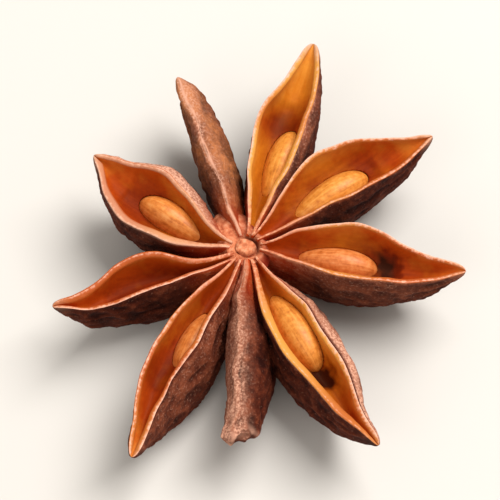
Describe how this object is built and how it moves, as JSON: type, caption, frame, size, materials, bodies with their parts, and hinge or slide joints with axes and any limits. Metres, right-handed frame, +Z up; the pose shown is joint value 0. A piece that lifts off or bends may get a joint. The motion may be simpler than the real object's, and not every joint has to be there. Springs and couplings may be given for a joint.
{
  "type": "star anise pod",
  "caption": "Dried star-shaped spice pod: boat-shaped woody follicles joined round a short central column, most split open along the top with a glossy seed inside.",
  "frame": {"origin": "on the resting surface, under the middle of the pod's bounding box", "axes": "+Z up, from the keels to the open side of the follicles; +Y along the pod's longest span, away from the shut follicle that points to -Y; +X to the right of it, close to the line of one open follicle"},
  "size_m": [0.0328, 0.0364, 0.0076],
  "materials": {
    "husk": "dry, matt and wrinkled outside, smooth satin inside",
    "seed": "smooth and glossy"
  },
  "bodies": {
    "root": {"husk": "husk", "seed_east": "seed", "seed_north_east": "seed", "seed_north": "seed", "seed_north_west": "seed", "seed_south_west": "seed", "seed_south_east": "seed"}
  },
  "joints": []
}
